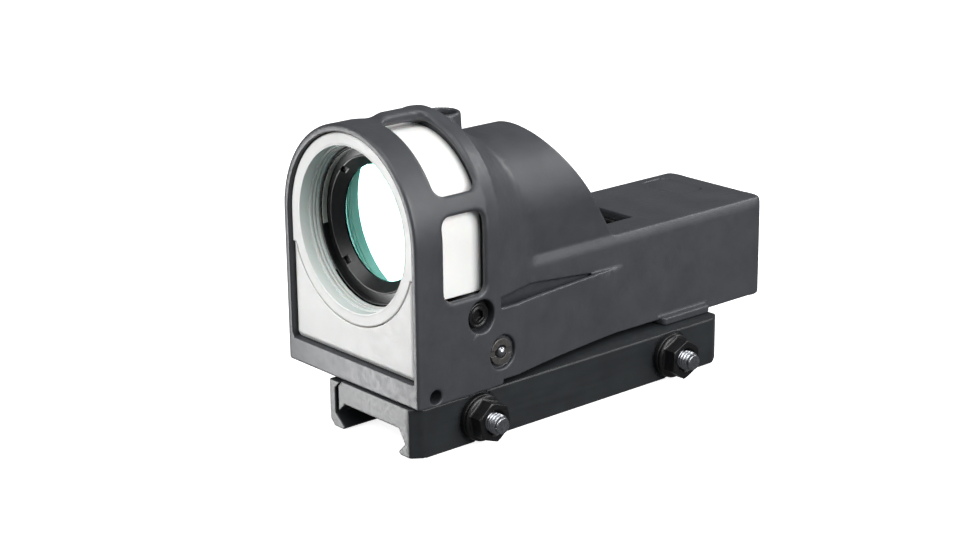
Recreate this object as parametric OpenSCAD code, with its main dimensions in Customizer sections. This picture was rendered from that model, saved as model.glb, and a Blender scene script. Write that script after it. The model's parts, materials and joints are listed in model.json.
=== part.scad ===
// Rail-mounted reflex sight. The origin is the middle of the rail seat, +Y runs from the lens to the
// eye, +X to the side with the clamp nuts, +Z up. The parts are drawn in the sight frame, whose
// origin is on the front face, under the optical axis, and seat() moves them to the rail seat.

/* [Hoop] */
// Outer radius of the hoop
hoop_r = 20; // [19.6:0.1:20.4]
// Length of the hoop along the sight
hoop_len = 20.4; // [20:0.1:21]
// Width of the rim that frames the collector
bezel = 1.5; // [1.3:0.1:1.6]
// Height of the bar under the collector
sill_h = 4.85; // [4.5:0.05:5.2]
// Height of the optical axis over the underside
axis_z = 30; // [29.8:0.1:30.4]

/* [Tunnel and box] */
// Outer radius of the tunnel hood
hood_r = 14; // [13.8:0.1:14.2]
// Wall of the tunnel hood
hood_wall = 1.4; // [1.2:0.1:1.5]
// How far each side of the hood draws in down to the box
hood_draft = 0.8; // [0.4:0.1:1]
// Half the width of the box at its top
box_half = 14; // [13.8:0.1:14.4]
// Extra half width of the box at its bottom
box_draft = 0.8; // [0.2:0.1:1]
// Height of the box top
box_top = 20.9; // [20.6:0.1:21.2]
// Where the box ends
tail_y = 98.9; // [98:0.1:100]
// Wall thickness of the box
wall = 2; // [1.8:0.1:2.1]

/* [Rail clamp] */
// Sideways offset of the rail from the optical axis
rail_x = 5.6; // [5.4:0.1:5.8]
// Length of the rail base
base_len = 81.2; // [80:0.2:84]
// Depth of the rail groove's roof under the top of the base
roof_drop = 4.5; // [4.4:0.05:4.6]
// Spacing of the cross bolts: five rail slots of 10.01 mm and part of the bolts' play in them
bolt_gap = 50.6; // [50:0.1:51]
// Radius of the cross bolts
bolt_r = 2; // [1.95:0.05:2.1]

/* [Optics] */
// Radius of the lens
lens_r = 12.7; // [12.5:0.1:12.8]
// Depth of the tilt axes behind the front face
tilt_y = 10; // [9.8:0.1:10.2]
// Radius of the bore through the light collector
collector_bore = 14.7; // [14.65:0.05:14.8]

/* [Hidden] */
$fn = 96;
hull_fn = 32;
eps = 0.01;
far = 60;

seat_y = 40;
base_y0 = seat_y - base_len / 2;
base_y1 = seat_y + base_len / 2;
bolt_z = -4.7;
bolt_y = [seat_y - bolt_gap / 2, seat_y + bolt_gap / 2];

cavity_r = hoop_r - bezel;
cavity_y1 = 17.6;
bevel_y = 17.2;
bevel_r = hoop_r - 0.5;
crease_y = 27.6;
crease_lean = 0.275;
crease_z = 44;
rim_y = 40.5;
rim_z = 43.8;
rim_lean = 0.65;
bore_r = hood_r - hood_wall;
floor_z = 2.6;
relief_z = 0.9;
relief_y = [21, 67];
window_y = [6.7, 16.5];
inside_half = box_half - wall + 0.4;
inside_y = [30, tail_y - wall];
cut_half = 6.1;
cut_y = [36, 67.6];
flare_top = 15.2;
flank = [[19.5, hoop_len - 1], [19.3, 25], [18, 31.4], [16.9, 37.7], [16, 43.8], [14.25, 57]];
pocket_top = 9;
gap_floor = 11;
gap_x = 13.3;
gap_y = [hoop_len + 0.15, 48.5];
tail_r = 4;
turret_y = 22.9;
turret_top = 48.95;
wind_y = 15.4;
wind_z = 14.8;
valve_at = [20.7, 6.5];
tether_at = [4.13, 1.8];
cover_half = 12.4;
cover_y = [32, 66];
cover_top = 1.9;
cover_screw_at = [for (x = [-1, 1], y = [cover_y[0] + 1.5, cover_y[1] - 1.5]) [x * 10.8, y]];
base_screw_at = [[rail_x, 8], [rail_x, 71.2]];
dowel_at = [[14.5, 9], [11.5, 78]];
coil_r = 16.1;
coil_y = 15.2;
coil_ends = [-25, 215];
reticle_at = [0, 75, 12];
beam_angle = atan((axis_z - reticle_at[2]) / (reticle_at[1] - tilt_y));
lead_path = [[coil_r * cos(coil_ends[1]), coil_y + 0.6, axis_z + coil_r * sin(coil_ends[1])],
    [-12, 32, 16.2], [-9.5, 45, 9], [-2.5, 74.4, 8.8]];

plate_y = [0.76, 3.1];
plate_half = cavity_r - 0.2;
seam_z = 24;
// Stepped funnel in front of the lens, as (radius, y).
funnel = [[15.85, 0.76], [15.85, 2.7], [15.65, 2.8], [15.65, 3.5], [15.45, 3.6], [15.45, 4.3],
    [15.3, 4.4], [15.3, 5]];
funnel_r = 16.3;
cup_r = 15.4;
body_r = cavity_r - 1.1;
body_y = [plate_y[1], cavity_y1 - 0.1];
body_foot = 18.9;

ring_y = [tilt_y - 2, tilt_y + 2];
cell_y = [6, 16];
cell_cup = [[13.2, 6.4], [14.8, 6.4], [14.8, 5.15], [15.1, 5.15], [15.1, 7.4]];
cell_r = 13.9;
barrel_r = 12.2;
barrel_end = 25;
seat_face = 13.4;
aperture_r = 11.6;
pin_r = 0.6;
pin_play = 0.05;
push_gap = 0.3;

base_x = [-3.7, 19.5];
base_z = -9.65;
flank_x = rail_x + 10.65;
flank_z = -7.2;
base_profile = [[-2.6, 0], [base_x[1] - 0.25, 0], [base_x[1], -0.25], [base_x[1], base_z],
    [14.9, base_z], [14.25, -9.17], [flank_x, flank_z], [14.6, -roof_drop], [-1.5, -roof_drop],
    [base_x[0], -6.4], [base_x[0], -1.1]];
jaw_spring_y = [25, 55];
jaw_spring_z = -2.8;
jaw_spring_r = 1;
jaw_x = [-6.3, -4.45];
jaw_profile = [[-3.05, -0.35], [jaw_x[0], -0.35], [jaw_x[0], -8.4], [-5.05, base_z], [-2.3, base_z],
    [-1.85, -9.2], [-4.4, -7], [jaw_x[1], -6.9], [jaw_x[1], -1.75], [-4.05, -1.35]];
washer_x = [base_x[1] - 0.2, 20.5];
washer_r = 4.5;
spot_r = 4.9;
nut_x = [washer_x[1] + 0.02, 21.5, 24.2];
nut_across_flats = 7;
stud_x = [25.6, 26.4];

// Moves children from the sight frame to the rail seat.
module seat() {
    translate([-rail_x, -seat_y, roof_drop]) children();
}

// Extrudes a profile drawn as (x, z) from y0 to y1.
module along_y(y0, y1) {
    translate([0, y1, 0]) rotate([90, 0, 0]) linear_extrude(y1 - y0) children();
}

// Half-round top of radius r with straight sides down to z0, as (x, z).
module arch(r, z0) {
    translate([0, axis_z]) intersection() {
        circle(r);
        translate([-r, 0]) square([2 * r, r]);
    }
    translate([-r, z0]) square([2 * r, axis_z - z0]);
}

module rod_x(r, x0, x1, y, z) {
    translate([x0, y, z]) rotate([0, 90, 0]) cylinder(h = x1 - x0, r = r);
}

module rod_y(r, y0, y1, x = 0, z = axis_z) {
    translate([x, y1, z]) rotate([90, 0, 0]) cylinder(h = y1 - y0, r = r);
}

module rod_z(r, z0, z1, x, y) {
    translate([x, y, z0]) cylinder(h = z1 - z0, r = r);
}

// Turns (radius, y) points about the optical axis, from angle a0 through angle sweep.
module turned(points, a0 = 0, sweep = 360) {
    translate([0, 0, axis_z]) rotate([-90, 0, 0]) rotate([0, 0, -a0 - sweep])
        rotate_extrude(angle = sweep) polygon(points);
}

module ring(r_in, r_out, y0, y1) {
    turned([[r_in, y0], [r_out, y0], [r_out, y1], [r_in, y1]]);
}

// Rectangle from corner a to corner b with corners of radius r.
module round_box(a, b, r) {
    translate([a[0] + r, a[1]]) square([b[0] - a[0] - 2 * r, b[1] - a[1]]);
    translate([a[0], a[1] + r]) square([b[0] - a[0], b[1] - a[1] - 2 * r]);
    for (x = [a[0] + r, b[0] - r], y = [a[1] + r, b[1] - r]) translate([x, y]) circle(r);
}

module slab(a, b) {
    translate(a) cube([b[0] - a[0], b[1] - a[1], b[2] - a[2]]);
}

// Straight round bar from a to b.
module link(a, b, r) {
    d = b - a;
    length = norm(d);
    translate(a) rotate([0, acos(d[2] / length), atan2(d[1], d[0])]) cylinder(h = length, r = r);
}

module hex_socket(af, depth) {
    cylinder(h = depth, r = af / sqrt(3), $fn = 6);
}

// ---------------------------------------------------------------- housing

module hoop_shell() {
    along_y(0, bevel_y) arch(hoop_r, 0);
    translate([0, bevel_y, axis_z]) rotate([-90, 0, 0])
        cylinder(h = hoop_len - bevel_y, r1 = hoop_r, r2 = bevel_r);
    linear_extrude(axis_z)
        polygon([[-hoop_r, bevel_y], [hoop_r, bevel_y], [bevel_r, hoop_len], [-bevel_r, hoop_len]]);
    rod_y(6, 8.5, 19.5, 0, 44.5);
}

// Outline of the hood, whose sides draw in down to the box, as (x, z).
module hood_outline(foot) {
    base = hood_r - hood_draft;
    arch(hood_r, axis_z - eps);
    polygon([[-hood_r, axis_z], [hood_r, axis_z], [base, box_top], [base, foot], [-base, foot],
        [-base, box_top]]);
}

// The leaning slice of the hood where the shoulder meets it.
module crease_slice() {
    intersection() {
        along_y(crease_y - 5, crease_y + 15) hood_outline(13, $fn = hull_fn * 2);
        translate([-far, crease_y, crease_z]) rotate([atan(crease_lean), 0, 0])
            translate([0, -0.1, -far]) cube([2 * far, 0.1, 2 * far]);
    }
}

module shoulder() {
    hull() {
        along_y(hoop_len - 0.1, hoop_len) arch(bevel_r, 0, $fn = hull_fn * 2);
        crease_slice();
    }
}

module hood() {
    difference() {
        along_y(hoop_len, rim_y + far) hood_outline(box_top - wall);
        translate([0, rim_y, rim_z]) rotate([atan(rim_lean), 0, 0])
            translate([-far, 0, -far]) cube([2 * far, 2 * far, 2 * far]);
    }
}

module box_plan(half, y0, y1, corner) {
    translate([-half, y0]) square([2 * half, y1 - y0 - corner]);
    round_box([-half, y0 + corner], [half, y1], corner);
}

module box_shell() {
    low = box_half + box_draft;
    edge = 0.8;
    drop = 1.4;
    intersection() {
        along_y(crease_y, tail_y) polygon([[-low, 0], [low, 0], [box_half, box_top - drop],
            [box_half - edge, box_top], [edge - box_half, box_top], [-box_half, box_top - drop]]);
        linear_extrude(far) box_plan(low, crease_y, tail_y, tail_r);
    }
    mirrored = [for (i = [len(flank) - 1:-1:0]) [-flank[i][0], flank[i][1]]];
    linear_extrude(flare_top) polygon(concat(flank, mirrored));
    slab([-16.3, relief_y[1], 0], [16.3, base_y1, 1.6]);
}

// Gap between the box and the lip of the flank on side s, open at the top.
module flank_gap(s) {
    lip = 0.9;
    rise = 1.9;
    depth = 8;
    translate([0, 0, gap_floor]) linear_extrude(flare_top - gap_floor + eps) intersection() {
        polygon(concat([[s * gap_x, gap_y[1]], [s * gap_x, gap_y[0]]],
            [for (p = flank) [s * (p[0] - lip), p[1]]]));
        translate([-far, gap_y[0]]) square([2 * far, gap_y[1] - gap_y[0]]);
    }
    translate([s > 0 ? gap_x : -gap_x - depth, 0, 0]) rotate([90, 0, 90]) linear_extrude(depth)
        polygon([[gap_y[0], flare_top], [gap_y[1], flare_top], [gap_y[0], flare_top + rise]]);
}

// Rounded window through the side wall, drawn as (y, z), on the side s.
module side_window(s) {
    depth = 4;
    translate([s > 0 ? hoop_r - depth + 1 : -hoop_r - 1, 0, 0]) rotate([90, 0, 90])
        linear_extrude(depth) round_box([window_y[0], 19.1], [window_y[1], 34.9], 2);
}

// Rounded window through the arch from angle a0 to a1, measured from +X upwards.
module arch_window(a0, a1) {
    corner = 2.2;
    turn = asin(corner / hoop_r);
    hull() for (a = [a0 + turn, a1 - turn], y = [window_y[0] + corner, window_y[1] - corner])
        translate([0, y, axis_z]) rotate([0, 90 - a, 0])
            translate([0, 0, cavity_r - 3]) cylinder(h = 9, r = corner, $fn = hull_fn);
}

module sight_casting() {
    hoop_shell();
    shoulder();
    hood();
    box_shell();
    translate([0, turret_y, 38]) cylinder(h = turret_top - 38, r1 = 4.2, r2 = 3.7);
}

module hollows() {
    along_y(-1, cavity_y1) arch(cavity_r, sill_h);
    rod_y(bore_r, cavity_y1 - 1, 34);
    intersection() {
        rod_y(bore_r, 33, far + 10);
        slab([-far, 33, box_top], [far, far + 10, far]);
    }
    slab([-inside_half, inside_y[0], floor_z], [inside_half, inside_y[1], box_top - wall]);
    pockets();
}

// Bosses that stand inside the hollows.
module bosses() {
    rod_x(3.9, 14, cavity_r + 1, wind_y, wind_z);
    rod_x(2.9, 9.5, 15, wind_y, wind_z);
    rod_x(2.7, -cavity_r - 1, -9, wind_y, wind_z);
    for (p = cover_screw_at) rod_z(2, cover_top, 6, p[0], p[1]);
    for (p = base_screw_at) rod_z(3.2, relief_z, p[1] > seat_y ? 7 : sill_h, p[0], p[1]);
}

module housing() {
    color([0.24, 0.25, 0.27]) seat() difference() {
        union() {
            difference() {
                sight_casting();
                hollows();
                side_window(1);
                side_window(-1);
                arch_window(26, 85);
                arch_window(95, 154);
                flank_gap(1);
                flank_gap(-1);
            }
            bosses();
        }
        slab([-cut_half, cut_y[0], box_top - wall - 1], [cut_half, cut_y[1], box_top + 1]);
        slab([-far, relief_y[0], -1], [far, relief_y[1], relief_z]);
        translate([0, 0, relief_z - eps]) linear_extrude(cover_top - relief_z)
            round_box([-cover_half, cover_y[0]], [cover_half, cover_y[1]], 2);
        slab([-9.4, cover_y[0] + 3, 0], [9.4, cover_y[1] - 3, floor_z + 1]);
        screw_holes();
        translate([-5, 90.5, box_top - 0.25]) linear_extrude(1) round_box([-6, -3.6], [6, 3.6], 1.6);
    }
}

// Coring inside the flared sides of the casting.
module pockets() {
    for (s = [-1, 1])
        translate([0, 0, floor_z]) linear_extrude(pocket_top - floor_z)
            polygon([[s * 10, 24.6], [s * 17.2, 24.6], [s * 16, 31.4], [s * 14.9, 37.7], [s * 10, 44]]);
}

module screw_holes() {
    rod_x(3.2, cavity_r - 1.2, hoop_r + 1, wind_y, wind_z);
    rod_x(2.06, 9, cavity_r, wind_y, wind_z);
    rod_x(1.4, -16.2, -8, wind_y, wind_z);
    rod_x(3.3, 18.6, hoop_r + 1, valve_at[0], valve_at[1]);
    rod_x(2.5, 14.6, hoop_r, valve_at[0], valve_at[1]);
    rod_x(1.35, hoop_r - 4, hoop_r + 1, tether_at[0], tether_at[1]);
    rod_z(2.9, 46.2, turret_top + 1, 0, turret_y);
    rod_z(2.06, axis_z + bore_r - 2, 47, 0, turret_y);
    rod_z(1.6, 10.5, axis_z - bore_r + 2, 0, turret_y);
    for (y = bolt_y) rod_x(spot_r, washer_x[0], far, y, bolt_z);
    for (p = cover_screw_at) rod_z(0.8, 0, 5, p[0], p[1]);
    for (p = base_screw_at) rod_z(1.5, -1, p[1] > seat_y ? 6 : 4, p[0], p[1]);
    for (p = dowel_at) rod_z(1.5, -1, 2, p[0], p[1]);
    for (x = [-7.5, 7.5]) rod_z(1, relief_z, floor_z + 1, x, reticle_at[1] + 7);
    link(lead_path[0], lead_path[1], 1.1);
    link(lead_path[1], lead_path[2], 0.8);
}

// ---------------------------------------------------------------- underside

module bottom_cover() {
    color([0.2, 0.21, 0.22]) seat() difference() {
        translate([0, 0, relief_z]) linear_extrude(0.7)
            round_box([-cover_half + 0.1, cover_y[0] + 0.1], [cover_half - 0.1, cover_y[1] - 0.1], 1.9);
        for (p = cover_screw_at) rod_z(0.9, 0, 3, p[0], p[1]);
    }
}

module cover_gasket() {
    color([0.05, 0.05, 0.05]) seat() difference() {
        translate([0, 0, relief_z + 0.7]) linear_extrude(cover_top - relief_z - 0.7 - eps)
            round_box([-cover_half + 0.2, cover_y[0] + 0.2], [cover_half - 0.2, cover_y[1] - 0.2], 1.8);
        slab([-9.4, cover_y[0] + 3, 0], [9.4, cover_y[1] - 3, floor_z]);
        for (p = cover_screw_at) rod_z(0.9, 0, 3, p[0], p[1]);
    }
}

module cover_screws() {
    color([0.3, 0.3, 0.32]) seat() for (p = cover_screw_at) difference() {
        union() {
            rod_z(1.4, relief_z - 0.6, relief_z, p[0], p[1]);
            rod_z(0.8, relief_z - eps, 4.6, p[0], p[1]);
        }
        translate([p[0], p[1], relief_z - 0.7]) hex_socket(1.3, 0.5);
    }
}

// ---------------------------------------------------------------- light collector

module front_plate() {
    top = seam_z - 0.1;
    color("white") seat() difference() {
        along_y(plate_y[0], plate_y[1]) polygon([[-plate_half, sill_h + 0.1],
            [plate_half, sill_h + 0.1], [plate_half, top], [-plate_half, top]]);
        rod_y(plate_half + 0.1, -1, far);
    }
}

module collector_ring() {
    color("white") seat() {
        turned(concat(funnel, [[funnel_r, 5], [funnel_r, plate_y[1]], [plate_half, plate_y[1]],
            [plate_half, plate_y[0]]]));
        difference() {
            along_y(plate_y[0], plate_y[1]) arch(plate_half, seam_z);
            rod_y(plate_half - 0.5, -1, far);
        }
    }
}

module collector_body() {
    color("white") seat() difference() {
        along_y(body_y[0], body_y[1]) arch(body_r, body_foot);
        rod_y(collector_bore, -1, far);
        rod_y(cup_r, -1, 7.7);
        rod_y(funnel_r + 0.1, -1, 5.2);
        ring(coil_r - 1.15, coil_r + 1.15, coil_y - 1.4, far);
        for (s = [-1, 1]) rod_x(0.6, s > 0 ? 0 : -far, s > 0 ? far : 0, tilt_y, axis_z);
    }
}

module fibre_coil() {
    wire = 0.35;
    color([0.6, 0.85, 0.4]) seat() for (i = [-1, 0, 1], j = [-1, 0])
        turned([for (k = [0:11]) [coil_r + 0.76 * i + wire * cos(30 * k),
            coil_y + 0.76 * j + wire * sin(30 * k)]], coil_ends[0], coil_ends[1] - coil_ends[0]);
}

module fibre_lead() {
    lead_r = 0.5;
    color([0.6, 0.85, 0.4]) seat() {
        for (i = [0:len(lead_path) - 2]) link(lead_path[i], lead_path[i + 1], lead_r);
        for (i = [1:len(lead_path) - 2]) translate(lead_path[i]) sphere(r = lead_r * 1.3);
    }
}

module split_ring() {
    color([0.7, 0.7, 0.68]) seat()
        turned([[14.55, 5.3], [14.75, 5.3], [14.75, 6.35], [14.6, 6.35]], -10, 200);
}

// ---------------------------------------------------------------- lens and its gimbal

module tilt_ring() {
    color([0.1, 0.1, 0.1]) seat() difference() {
        ring(14.15, 14.5, ring_y[0], ring_y[1]);
        rod_x(pin_r + pin_play, -far, far, tilt_y, axis_z);
        translate([0, tilt_y, 0]) cylinder(h = 2 * far, r = pin_r + pin_play);
    }
}

module elevation_pins() {
    color("silver") seat() for (s = [-1, 1])
        rod_x(pin_r, s > 0 ? 14.2 : -17, s > 0 ? 17 : -14.2, tilt_y, axis_z);
}

module windage_pins() {
    color("silver") seat() for (s = [-1, 1])
        rod_z(pin_r, axis_z + (s > 0 ? 13.1 : -14.45), axis_z + (s > 0 ? 14.45 : -13.1), 0, tilt_y);
}

module lens_cell() {
    color([0.07, 0.07, 0.08]) seat() difference() {
        union() {
            turned(concat(cell_cup, [[cell_r, 7.4], [cell_r, cell_y[1]], [barrel_r, cell_y[1]],
                [barrel_r, barrel_end], [aperture_r, barrel_end], [aperture_r, seat_face],
                [lens_r + 0.1, seat_face], [lens_r + 0.1, 8], [13.2, 8]]));
            slab([-2.5, 12.5, 12.4], [2.5, 16.4, 16.4]);
        }
        for (s = [-1, 1])
            rod_z(pin_r, axis_z + (s > 0 ? 13.1 : -14.45), axis_z + (s > 0 ? 15 : -13.1), 0, tilt_y);
    }
}

module retainer_ring() {
    color([0.05, 0.05, 0.05]) seat() difference() {
        turned([[12.9, cell_y[0] + 0.05], [13.15, cell_y[0] + 0.05], [13.15, 7.95], [11, 7.95],
            [11.1, 7.5]]);
        for (a = [45:90:315]) translate([0, 0, axis_z]) rotate([0, a, 0])
            slab([12.1, cell_y[0] - 1, -0.75], [13.6, 6.9, 0.75]);
    }
}

// One lens element between two spherical faces, as centre bulges over the flat ones.
module lens(y0, y1, bulge0, bulge1) {
    steps = 12;
    front = [for (i = [0:steps]) let (r = lens_r * i / steps) [r, y0 - bulge0 * (1 - pow(i / steps, 2))]];
    back = [for (i = [steps:-1:0]) let (r = lens_r * i / steps) [r, y1 + bulge1 * (1 - pow(i / steps, 2))]];
    turned(concat(front, back));
}

module lens_front() {
    color([0.2, 0.7, 0.65, 0.5]) seat() lens(8, 10.4, -0.3, 0.5);
}

module lens_rear() {
    color([0.6, 0.85, 0.85, 0.5]) seat() lens(10.42, 12.98, -0.5, 0.3);
}

module lens_seal() {
    color([0.03, 0.03, 0.03]) seat() ring(aperture_r + 0.05, lens_r, 13.05, seat_face);
}

// ---------------------------------------------------------------- reticle

module reticle_window() {
    color([0.6, 0.8, 0.8, 0.4]) seat() slab([-8.6, 35, 17.2], [8.6, 69.5, 18.5]);
}

module window_gasket() {
    color([0.05, 0.05, 0.05]) seat() difference() {
        slab([-8.6, 35, 18.5], [8.6, 69.5, box_top - wall]);
        slab([-cut_half - 0.3, cut_y[0] + 0.5, 0], [cut_half + 0.3, cut_y[1] - 0.5, far]);
    }
}

// Turns children so that +Z points along the beam from the reticle to the lens.
module on_beam() {
    translate(reticle_at) rotate([90 - beam_angle, 0, 0]) children();
}

module reticle_block() {
    color([0.15, 0.15, 0.16]) seat() difference() {
        union() {
            slab([-5.5, 74.6, floor_z], [5.5, 86, 16.5]);
            slab([-10, 78, floor_z], [10, 86, floor_z + 1.6]);
        }
        on_beam() translate([0, 0, -3]) cylinder(h = 12, r = 2.6);
        on_beam() translate([0, 0, -9]) cylinder(h = 12, r = 1.5);
        for (x = [-7.5, 7.5]) rod_z(1.1, 0, 6, x, reticle_at[1] + 7);
        translate([-2.5, 74, 8.8]) rotate([-90, 0, 0]) cylinder(h = 2, r = 0.55);
    }
}

module reticle_plate() {
    color([0.2, 0.2, 0.2]) seat() on_beam() difference() {
        translate([0, 0, -3]) cylinder(h = 0.5, r = 2.55);
        translate([0, 0, -4]) cylinder(h = 2, r = 0.15);
    }
}

module tritium_vial() {
    color([0.6, 1, 0.7, 0.6]) seat() on_beam() {
        translate([0, 0, -8]) cylinder(h = 4.4, r = 1.1);
        for (z = [-8, -3.6]) translate([0, 0, z]) sphere(r = 0.5);
    }
}

module reticle_screws() {
    color("silver") seat() for (x = [-7.5, 7.5]) difference() {
        union() {
            rod_z(1, relief_z + 0.3, floor_z + 2, x, reticle_at[1] + 7);
            rod_z(1.8, floor_z + 1.6, floor_z + 2.8, x, reticle_at[1] + 7);
        }
        translate([x, reticle_at[1] + 7, floor_z + 2.1]) hex_socket(1.5, 1);
    }
}

// ---------------------------------------------------------------- adjusting screws and valve

module elevation_screw() {
    tip = axis_z + barrel_r + push_gap;
    color([0.1, 0.1, 0.1]) seat() difference() {
        union() {
            rod_z(1, tip, 43.2, 0, turret_y);
            rod_z(2, 43, 47.2, 0, turret_y);
            rod_z(2.7, 46.95, 48.1, 0, turret_y);
        }
        slab([-3, turret_y - 0.35, 47.5], [3, turret_y + 0.35, 49]);
    }
}

module elevation_seal() {
    color([0.03, 0.03, 0.03]) seat() difference() {
        rod_z(2.7, 46.2, 46.85, 0, turret_y);
        rod_z(2.1, 46, 47, 0, turret_y);
    }
}

module windage_screw() {
    color([0.1, 0.1, 0.1]) seat() difference() {
        union() {
            rod_x(0.8, 2.5 + push_gap, 9.5, wind_y, wind_z);
            rod_x(2, 9.2, 18.4, wind_y, wind_z);
            rod_x(2.4, 17.95, 19, wind_y, wind_z);
        }
        translate([18.1, wind_y, wind_z]) rotate([0, 90, 0]) hex_socket(2, 2);
    }
}

module windage_seal() {
    color([0.03, 0.03, 0.03]) seat() difference() {
        rod_x(2.9, cavity_r - 1.2, cavity_r - 0.6, wind_y, wind_z);
        rod_x(2.1, 0, far, wind_y, wind_z);
    }
}

module return_springs() {
    color("silver") seat() {
        difference() {
            rod_z(1.3, 10.5, axis_z - barrel_r - push_gap, 0, turret_y);
            rod_z(0.9, 0, far, 0, turret_y);
        }
        difference() {
            rod_x(0.8, -16.2, -2.5 - push_gap, wind_y, wind_z);
            rod_x(0.45, -far, 0, wind_y, wind_z);
        }
    }
}

module purge_valve() {
    color([0.55, 0.53, 0.48]) seat() difference() {
        union() {
            rod_x(2.45, 15, 18.7, valve_at[0], valve_at[1]);
            rod_x(2.65, 18.6, 19.2, valve_at[0], valve_at[1]);
        }
        rod_x(1.15, 10, far, valve_at[0], valve_at[1]);
        slab([18.9, valve_at[0] - 4, valve_at[1] - 0.5], [20, valve_at[0] + 4, valve_at[1] + 0.5]);
    }
}

module valve_pin() {
    color([0.8, 0.8, 0.8]) seat() {
        rod_x(1.1, 15.2, 18.7, valve_at[0], valve_at[1]);
        translate([18.7, valve_at[0], valve_at[1]]) sphere(1.1);
    }
}

module valve_seal() {
    color([0.03, 0.03, 0.03]) seat() difference() {
        rod_x(2.45, 14.6, 15, valve_at[0], valve_at[1]);
        rod_x(1.2, 0, far, valve_at[0], valve_at[1]);
    }
}

// ---------------------------------------------------------------- rail base and clamp

module rail_base() {
    right = base_x[1];
    color([0.2, 0.2, 0.22]) seat() difference() {
        intersection() {
            along_y(base_y0, base_y1) polygon(base_profile);
            translate([0, 0, -far / 2]) linear_extrude(far)
                polygon([[-10, base_y0], [right - 1.7, base_y0], [right, base_y0 + 2.4],
                    [right, base_y1 - 2.65], [right - 1.9, base_y1], [-10, base_y1]]);
        }
        for (y = bolt_y) {
            rod_x(bolt_r + 0.1, -far, far, y, bolt_z);
            rod_x(spot_r, washer_x[0], far, y, bolt_z);
        }
        for (p = base_screw_at) {
            rod_z(1.6, -far, far, p[0], p[1]);
            rod_z(2.8, -far, -roof_drop + 2.3, p[0], p[1]);
        }
        for (p = dowel_at) rod_z(1.5, -3, 1, p[0], p[1]);
        for (y = jaw_spring_y) rod_x(jaw_spring_r + 0.2, -far, 2, y, jaw_spring_z);
    }
}

module base_screws() {
    color([0.2, 0.2, 0.2]) seat() for (p = base_screw_at) difference() {
        union() {
            rod_z(1.5, -3, p[1] > seat_y ? 5.5 : 3.5, p[0], p[1]);
            rod_z(2.6, -roof_drop + 0.3, -roof_drop + 2.3, p[0], p[1]);
        }
        translate([p[0], p[1], -roof_drop]) hex_socket(2.5, 1.6);
    }
}

module locating_pins() {
    color("silver") seat() for (p = dowel_at) rod_z(1.5, -2.9, 1.9, p[0], p[1]);
}

module clamp_jaw() {
    color([0.2, 0.2, 0.22]) seat() difference() {
        along_y(base_y0, base_y1) polygon(jaw_profile);
        for (y = bolt_y) {
            rod_x(bolt_r, -far, far, y, bolt_z);
            rod_x(3.6, -far, jaw_x[0] + 0.9, y, bolt_z);
        }
    }
}

module cross_bolts() {
    color([0.6, 0.6, 0.6]) seat() for (y = bolt_y) {
        difference() {
            rod_x(3.6, jaw_x[0], jaw_x[0] + 0.9, y, bolt_z);
            slab([-far, y - 3, bolt_z - 0.5], [jaw_x[0] + 0.45, y + 3, bolt_z + 0.5]);
        }
        rod_x(bolt_r, jaw_x[0] + 0.9 - eps, stud_x[0], y, bolt_z);
        rod_x(bolt_r - 0.4, stud_x[0] - eps, stud_x[1], y, bolt_z);
    }
}

module jaw_springs() {
    color("silver") seat() for (y = jaw_spring_y) difference() {
        rod_x(jaw_spring_r, jaw_x[1], 1.6, y, jaw_spring_z);
        rod_x(jaw_spring_r - 0.35, -far, far, y, jaw_spring_z);
    }
}

module washers() {
    color([0.13, 0.13, 0.14]) seat() for (y = bolt_y) difference() {
        rod_x(washer_r, washer_x[0], washer_x[1], y, bolt_z);
        rod_x(bolt_r + 0.15, 0, far, y, bolt_z);
    }
}

module nut(y) {
    color([0.13, 0.13, 0.14]) seat() difference() {
        union() {
            rod_x(washer_r - 0.05, nut_x[0], nut_x[1], y, bolt_z);
            translate([nut_x[0], y, bolt_z]) rotate([0, 90, 0]) rotate([0, 0, 30])
                cylinder(h = nut_x[2] - nut_x[0], r = nut_across_flats / sqrt(3), $fn = 6);
        }
        rod_x(bolt_r + 0.05, 0, far, y, bolt_z);
    }
}

module front_nut() {
    nut(bolt_y[0]);
}

module rear_nut() {
    nut(bolt_y[1]);
}

housing();
bottom_cover();
cover_gasket();
cover_screws();
front_plate();
collector_ring();
collector_body();
fibre_coil();
fibre_lead();
split_ring();
tilt_ring();
elevation_pins();
windage_pins();
lens_cell();
retainer_ring();
lens_front();
lens_rear();
lens_seal();
reticle_window();
window_gasket();
reticle_block();
reticle_plate();
tritium_vial();
reticle_screws();
elevation_screw();
elevation_seal();
windage_screw();
windage_seal();
return_springs();
purge_valve();
valve_pin();
valve_seal();
rail_base();
base_screws();
locating_pins();
clamp_jaw();
cross_bolts();
jaw_springs();
washers();
front_nut();
rear_nut();
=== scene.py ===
"""Looks of the rail-mounted reflex sight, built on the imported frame.

Cast, machined and threaded shapes are signed distances in millimetres, meshed with OpenVDB; round
optics are turned profiles. Both use the sight frame: the origin is on the front face under the
optical axis, +Y runs from the lens to the eye, +X to the clamp nuts and +Z up.
"""

import json
import math

import bpy
import numpy as np
import openvdb
from mathutils import Matrix, Vector


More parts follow.
